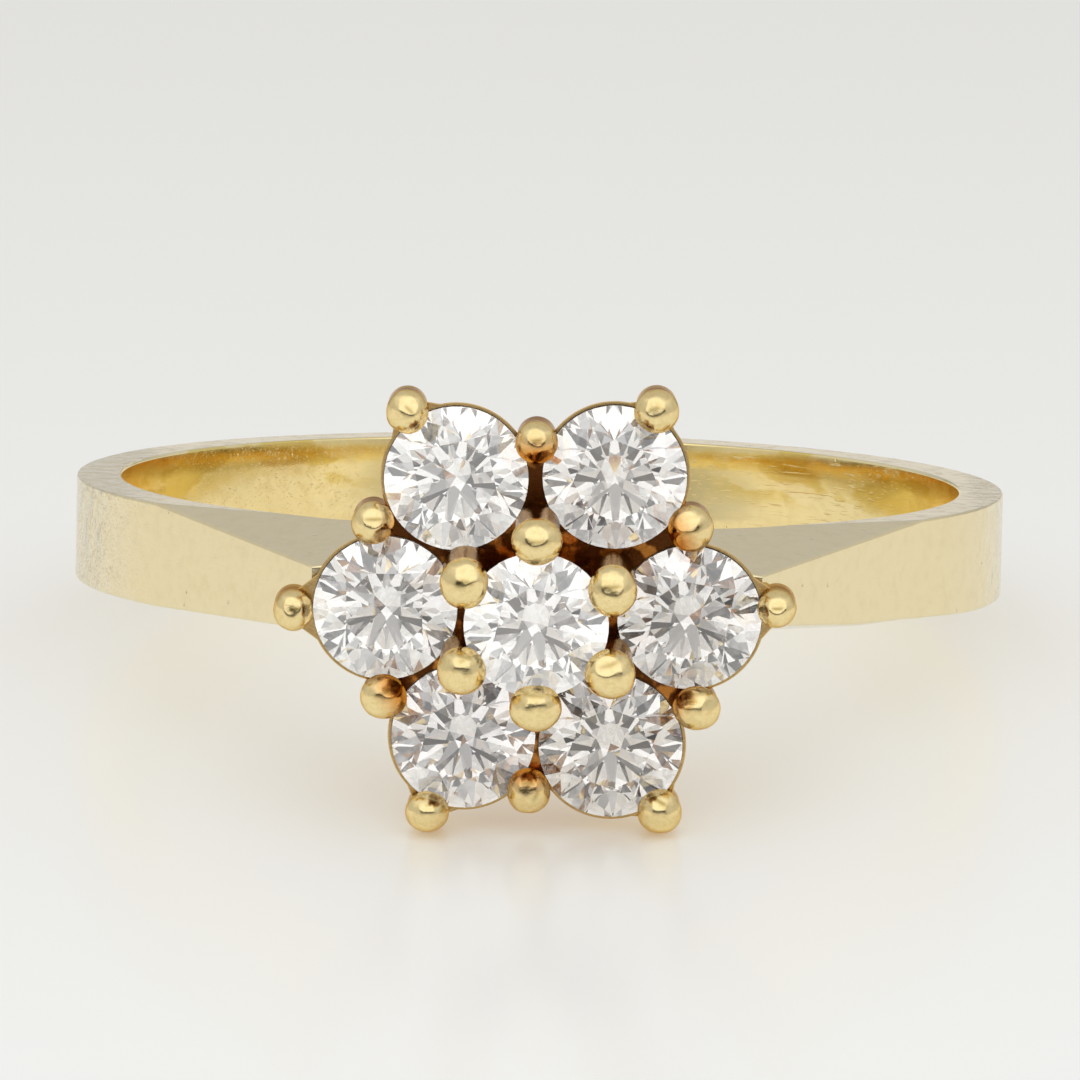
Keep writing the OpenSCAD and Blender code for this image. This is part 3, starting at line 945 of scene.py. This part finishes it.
def buildGallery(rooms, material):
    lightR = head["lightHoleD"] / 2
    lowR = lightR + head["cupWall"]
    cup = lathe([(0, -cupDepth), (lowR, -cupDepth), (stoneR - head["cupWall"] / 2, plateMid),
                 (0, plateMid)], head["roundSteps"])
    raised = lathe([(0, plateMid), (lowR, plateMid),
                    (stoneR - head["raisedIn"], plateTop + head["centreRise"]),
                    (0, plateTop + head["centreRise"])], head["roundSteps"])
    drumR = head["drumD"] / 2
    drum = lathe([(drumR - head["drumWall"], -drumDepth), (drumR, -drumDepth), (drumR, plateMid),
                  (drumR - head["drumWall"], plateMid)], head["drumSteps"], loop=True)
    extras = [moved(cup, Matrix.Translation((*petalPlace(i), 0))) for i in range(6)]
    extras += [raised, drum]
    for i in range(6):
        place = middlePlace(i)
        foot = place / hypot(*place) * (drumR - head["drumWall"] / 2)
        extras.append(rod((*foot, -cupDepth), (*place, plateMid), head["strutD"] / 2))
    gallery = newObject("gallery", buildPlate(), headPlace, material)
    for k, part in enumerate(extras):
        other = newObject(f"extra{k}", part, headPlace, material)
        carve(gallery, other, "UNION")
        bpy.data.objects.remove(other)
    carve(gallery, rooms)
    return gallery


# Prongs: a post through the plate, ending in a bead that was pushed over the girdle
# Each bead's width and height as shares of its prong's size, then its marks: kind, turn round
# the bead and height over its side in degrees, size and depth. Then its dark streaks, a painted
# reflection of the tent's dark opening: place to the right and up from the middle and half length,
# as shares of its radius, strength and slant
beadForms = {
    "corner0": (0.9, 0.87, [("flat", 90, 72, 0.9, 0.8), ("flat", 190, 40, 0.92, 0.8)],
                [(0, -0.05, 0.3, 0.9, 0)]),
    "corner1": (1.06, 1.04, [("flat", 110, 72, 0.92, 0.8), ("flat", 300, 50, 0.93, 0.8)],
                [(-0.14, 0, 0.27, 0.8, 15)]),
    "corner2": (0.98, 1.04, [("flat", 60, 62, 0.92, 0.8), ("flat", 200, 55, 0.94, 0.8)],
                [(0.12, -0.03, 0.28, 0.7, -45)]),
    "corner3": (0.9, 0.97, [("flat", 95, 74, 0.9, 0.8), ("flat", 200, 40, 0.9, 0.8)],
                [(0.13, -0.05, 0.3, 1, 0)]),
    "corner4": (1.04, 0.95, [("flat", 265, 65, 0.93, 0.75)],
                [(0.3, 0.33, 0.35, 0.7, 20), (0.68, 0, 0.3, 0.5, 75)]),
    "corner5": (1.04, 1.05, [("flat", 250, 65, 0.93, 0.75)], [(0, 0.33, 0.4, 0.9, -28)]),
    "middle0": (1.07, 1.1, [("flat", 120, 62, 0.88, 0.85), ("flat", 255, 55, 0.84, 0.9)],
                [(0.05, -0.2, 0.5, 0.7, 28)]),
    "middle1": (0.98, 1.02, [("flat", 90, 70, 0.92, 0.8), ("flat", 300, 45, 0.9, 0.85)],
                [(0, 0, 0.28, 0.9, 8)]),
    "middle2": (1.0, 1.0, [("flat", 85, 72, 0.9, 0.8), ("flat", 310, 45, 0.88, 0.85)],
                [(0.08, 0.06, 0.5, 0.75, 0)]),
    "middle3": (1.12, 1.05, [("flat", 220, 60, 0.92, 0.8), ("flat", 60, 50, 0.88, 0.85)],
                [(0.15, 0.14, 0.6, 0.7, 32), (0.5, 0.5, 0.3, 0.6, -30)]),
    "middle4": (1.02, 1.1, [("flat", 250, 50, 0.93, 0.8), ("dimple", 110, 80, 0.3, 0.04)],
                [(-0.05, 0.2, 0.3, 0.8, 0), (0.35, -0.35, 0.3, 0.4, 60)]),
    "middle5": (1.14, 1.05, [("flat", 120, 50, 0.88, 0.85), ("dimple", 220, 66, 0.22, 0.05),
                             ("flat", 10, 55, 0.92, 0.8)],
                [(-0.1, 0.5, 0.4, 0.6, 0), (-0.3, -0.15, 0.2, 0.5, 40)]),
    "inner0": (1.06, 1.14, [("flat", 90, 76, 0.92, 0.8), ("flat", 250, 60, 0.94, 0.7)],
               [(-0.1, 0, 0.45, 0.8, 3)]),
    "inner1": (1.12, 1.03, [("flat", 92, 72, 0.92, 0.8)], [(0, -0.13, 0.48, 0.7, 0)]),
    "inner2": (1.06, 1.12, [("flat", 60, 62, 0.92, 0.8), ("flat", 330, 62, 0.92, 0.8)],
               [(-0.15, -0.13, 0.25, 0.8, 20), (0.15, -0.13, 0.25, 0.8, -20)]),
    "inner3": (1.05, 1.05, [("flat", 250, 68, 0.93, 0.75)],
               [(0.18, 0.42, 0.34, 0.8, -15), (0.08, 0.3, 0.15, 0.5, 20)]),
    "inner4": (1.14, 1.05, [("flat", 265, 66, 0.94, 0.7)], [(0, 0.35, 0.5, 0.7, -4)]),
    "inner5": (1.1, 1.1, [("flat", 110, 62, 0.9, 0.8), ("flat", 270, 66, 0.94, 0.7)],
               [(-0.03, 0.24, 0.42, 0.6, 16)]),
}
flatSoft = 0.025       # softness of a flat's edge, as a share of the bead's radius
streakWidth = 0.1      # half width of a streak, as such a share
streakRise = 0.24      # the beads' middles as they are looked at, as such a share


def markBead(offset, r, marks):
    # Push the bead's surface in where its marks say; the offset is from the bead's middle
    p = Vector(offset)
    for kind, turn, height, size, depth in marks:
        turn, height = radians(turn), radians(height)
        way = Vector((cos(turn) * cos(height), sin(turn) * cos(height), sin(height)))
        if kind == "flat":
            over = p.dot(way) / r - size
            p -= way * r * (over + sqrt(over * over + flatSoft ** 2)) / 2 * depth
        else:
            p -= way * depth * r * exp(-((p / r - way).length / size) ** 2)
    return p


def streakAt(offset, r, streaks):
    # How dark the bead's painted streaks are at a point of its surface
    dark = 0
    for aside, up, size, strength, slant in streaks:
        slant = radians(slant)
        x, y = offset[0] / r - aside, offset[1] / r - up - streakRise
        along, across = x * cos(slant) + y * sin(slant), y * cos(slant) - x * sin(slant)
        if offset[2] > 0:
            dark = max(dark, strength * exp(-(along / size) ** 4 - (across / streakWidth) ** 2))
    return dark


def prongPart(girdle, beadR, form, seed):
    postR = beadR - prongs["swell"] / 2
    soft = prongs["footSoft"]
    foot, beadZ = plateLow + soft, girdle + prongs["lift"]
    neck = beadZ - beadR * prongs["neck"]
    rows = [(0, foot), (postR - soft, foot), (postR, foot + soft)]
    rows += [(postR, z) for z in np.linspace(foot + 2 * soft, neck, prongs["postSteps"])]
    for t in np.linspace(-40, 90, prongs["beadSteps"])[1:]:
        r, z = beadR * cos(radians(t)), beadZ + beadR * sin(radians(t))
        rows.append((max(r, postR) if t < 0 else r, z) if t < 90 else (0, z))
    points, faces = lathe(rows, prongs["roundSteps"])
    middle = Vector((0, 0, beadZ))
    wide, tall, marks, streaks = form
    paintedStreaks = []
    for p in points:
        share = max(0, min(1, (p[2] - neck) / beadR))
        spot = Vector(p) * prongs["lumpScale"] + Vector((seed * 7.3, seed * 3.1, seed))
        bump = (noise.noise_vector(spot) * prongs["lump"]
                + noise.noise_vector(spot * 3) * prongs["fineLump"])
        offset = Vector(p) - middle
        paintedStreaks.append(streakAt(offset, beadR, streaks))
        q = middle + markBead(offset, beadR, marks) + bump * share
        spread = prongs["postSpread"] + (1 - prongs["postSpread"]) * share
        p[:] = (q.x * (1 + (wide - 1) * spread), q.y * (1 + (tall - 1) * spread), q.z)
    return points, faces, paintedStreaks


def buildProngs(rooms, outerGold, innerGold):
    noise.seed_set(prongs["lumpSeed"])
    kinds = (("corner", cornerPlace, 0, prongs["outerD"], outerGold),
             ("middle", middlePlace, 0, prongs["outerD"], outerGold),
             ("inner", innerPlace, head["centreRise"], prongs["innerD"], innerGold))
    for k, (kind, placeOf, girdle, size, material) in enumerate(kinds):
        for i in range(6):
            points, faces, paintedStreaks = prongPart(girdle, size / 2, beadForms[f"{kind}{i}"], 10 * k + i)
            part = moved((points, faces), Matrix.Translation((*placeOf(i), 0)))
            prong = newObject(f"prong_{kind}_{i}", part, headPlace, material)
            # Painted reflection: how dark each point's streak is painted
            layer = prong.data.attributes.new("dirt", "FLOAT", "POINT")
            layer.data.foreach_set("value", paintedStreaks)
            carve(prong, rooms)
            smoothUnder(prong, 40)
            finishPiece(prong)


bandGold = makeBandGold()
rimGold = makeHeadGold("gallery gold", headGold["gallery"])
outerGold = makeHeadGold("outer prong gold", headGold["outer"])
innerGold = makeHeadGold("inner prong gold", headGold["inner"])
seatGold = makeSeatGold()

stoneRooms = buildRooms(seatGold)
shankPiece = buildShank(bandGold)
carve(shankPiece, stoneRooms)
smoothUnder(shankPiece, 50)
shankPiece.modifiers.new("flats", "WEIGHTED_NORMAL").keep_sharp = True
finishPiece(shankPiece)
say("shank")
galleryPiece = buildGallery(stoneRooms, rimGold)
smoothUnder(galleryPiece, 35)
finishPiece(galleryPiece)
say("gallery")
buildProngs(stoneRooms, outerGold, innerGold)
bpy.data.objects.remove(stoneRooms)
say("prongs")

for k, name in enumerate(["centre_stone"] + [f"petal_stone_{p}" for p in petalNames]):
    stone = frame["nodes"][name]
    stone.data.materials.clear()
    stone.data.materials.append(makeDiamond(f"diamond {k}", stoneLook[name], k))
say("stones")


# Studio
studio = {
    "backdrop": (0.82, 0.83, 0.80),
    # Brightness of the floor along Y; the picture shows it from about -22 to 60
    "floorTones": [(-300, 0.8), (-70, 0.9), (-25, 1), (10, 1), (60, 1.12), (90, 0.6), (300, 0.35)],
    # Its own glow is warm and the rest of it cool, so that shadows come out warm
    "floorColour": (0.63, 0.775, 0.9),
    "floorGlow": (0.36, 0.265, 0.16),
    "floorRoughness": 0.24,
    "floorSide": 1200,
    "floorReach": 300,         # how far either way the floor's tones go
    # Light of the tent by the height of its direction, and of the soft box over the ring
    "domeLight": [(-1, 0.4), (0, 0.4), (0.12, 0.43), (0.28, 0.59), (0.6, 0.85), (1, 1)],
    "boxUp": 0.42,
    "boxSide": 0.6,
    "boxLight": 1.2,          # its front half, on the camera's side
    "boxBack": 0.6,
    "boxBlend": 0.35,
    "boxSoft": (0.05, 0.06),   # soft edges: upward, then sideways
    "wallFrom": 0.6,           # white walls of the tent, low on the left and the right
    "wallFull": 0.85,
    "wallUp": 0.4,
    "wallLight": 0.62,
    "wallSoft": 0.1,
    "slotUp": 0.28,            # dark opening of the light tent round the camera
    "slotHalf": 0.09,
    "slotSide": 0.6,
    "slotLight": 0.05,
    "slotSoft": (0.05, 0.1),
    "cameraAway": 260,
    "cameraUp": 6.53,          # over the shank's plane
    "cameraAside": -0.25,
    "pixelsPerMm": 48.33,      # at the finger hole's middle, in a frame 1080 wide
    "frameWidth": 1080,
    "holeX": 539.1,            # where the finger hole's middle stands in that frame
    "holeY": 531.7,
}


def buildFloor():
    side = studio["floorSide"] / 2 * mm
    reach = studio["floorReach"]
    mesh = bpy.data.meshes.new("floor")
    mesh.from_pydata([(-side, -side, 0), (side, -side, 0), (side, side, 0), (-side, side, 0)], [],
                     [(0, 1, 2, 3)])
    floor = bpy.data.objects.new("floor", mesh)
    bpy.context.scene.collection.objects.link(floor)
    material, tree, shader = newMaterial("floor")
    nodes, links = tree.nodes, tree.links
    where = nodes.new("ShaderNodeTexCoord")
    split = nodes.new("ShaderNodeSeparateXYZ")
    links.new(where.outputs["Object"], split.inputs[0])
    across = mathNode(tree, "MULTIPLY_ADD", split.outputs[1], 0.5 / (reach * mm), 0.5)
    level = greyRamp(tree, across, [((y / reach + 1) / 2, tone) for y, tone in studio["floorTones"]])
    links.new(mixColour(tree, 1.0, level, studio["floorColour"], "MULTIPLY"),
              shader.inputs["Base Color"])
    links.new(mixColour(tree, 1.0, level, studio["floorGlow"], "MULTIPLY"),
              shader.inputs["Emission Color"])
    shader.inputs["Emission Strength"].default_value = 1
    shader.inputs["Roughness"].default_value = studio["floorRoughness"]
    mesh.materials.append(material)


def buildCamera():
    away, yaw = studio["cameraAway"] * mm, radians(studio["cameraAside"])
    up = radians(studio["cameraUp"]) + layTilt
    forward = Vector((sin(yaw) * cos(up), cos(yaw) * cos(up), -sin(up)))
    right = Vector((cos(yaw), -sin(yaw), 0))
    above = right.cross(forward)
    perMm = studio["pixelsPerMm"]
    middle = studio["frameWidth"] / 2
    aim = (holeCentre + right * ((middle - studio["holeX"]) / perMm * mm)
           + above * ((studio["holeY"] - middle) / perMm * mm))
    data = bpy.data.cameras.new("camera")
    data.sensor_width = 36
    data.lens = perMm * studio["cameraAway"] / studio["frameWidth"] * data.sensor_width
    data.clip_start = 0.01
    data.clip_end = 10
    camera = bpy.data.objects.new("camera", data)
    bpy.context.scene.collection.objects.link(camera)
    camera.location = aim - forward * away
    camera.rotation_euler = forward.to_track_quat("-Z", "Y").to_euler()
    bpy.context.scene.camera = camera


def bandMask(tree, value, middle, half, soft):
    # 1 within half of the middle, falling to 0 over the soft width past it
    away = mathNode(tree, "ABSOLUTE", mathNode(tree, "SUBTRACT", value, middle))
    return fade(tree, away, half, half + soft, 1, 0)


def buildWorld():
    world = bpy.data.worlds.new("studio")
    bpy.context.scene.world = world
    world.use_nodes = True
    tree = world.node_tree
    nodes, links = tree.nodes, tree.links
    nodes.clear()
    where = nodes.new("ShaderNodeTexCoord")
    split = nodes.new("ShaderNodeSeparateXYZ")
    links.new(where.outputs["Generated"], split.inputs[0])
    side, depth, up = split.outputs
    dome = greyRamp(tree, mathNode(tree, "MULTIPLY_ADD", up, 0.5, 0.5),
                    [(height / 2 + 0.5, level) for height, level in studio["domeLight"]])
    softUp, softSide = studio["boxSoft"]
    box = mathNode(tree, "MULTIPLY",
                   bandMask(tree, up, 1, 1 - studio["boxUp"], softUp),
                   bandMask(tree, side, 0, studio["boxSide"], softSide))
    softUp, softSide = studio["slotSoft"]
    slot = mathNode(tree, "MULTIPLY",
                    bandMask(tree, up, studio["slotUp"], studio["slotHalf"], softUp),
                    bandMask(tree, side, 0, studio["slotSide"], softSide))
    dark = mathNode(tree, "MULTIPLY", slot, mathNode(tree, "LESS_THAN", depth, 0))
    front = fade(tree, depth, -studio["boxBlend"], studio["boxBlend"],
                 studio["boxLight"], studio["boxBack"])
    aside = mathNode(tree, "ABSOLUTE", side)
    walls = mathNode(tree, "MULTIPLY",
                     fade(tree, aside, studio["wallFrom"], studio["wallFull"]),
                     bandMask(tree, up, 0, studio["wallUp"], studio["wallSoft"]))
    tent = mixColour(tree, walls, dome, (studio["wallLight"],) * 3)
    lit = mixColour(tree, box, tent, front)
    opened = mixColour(tree, dark, lit, (studio["slotLight"],) * 3)
    ray = nodes.new("ShaderNodeLightPath")
    seen = mixColour(tree, ray.outputs["Is Camera Ray"], opened, studio["backdrop"])
    shader = nodes.new("ShaderNodeBackground")
    links.new(seen, shader.inputs["Color"])
    out = nodes.new("ShaderNodeOutputWorld")
    links.new(shader.outputs[0], out.inputs["Surface"])


buildFloor()
buildCamera()
buildWorld()
scene = bpy.context.scene
scene.view_settings.view_transform = "Standard"
scene.cycles.max_bounces = 32
scene.cycles.glossy_bounces = 24
scene.cycles.transmission_bounces = 24
say("studio")
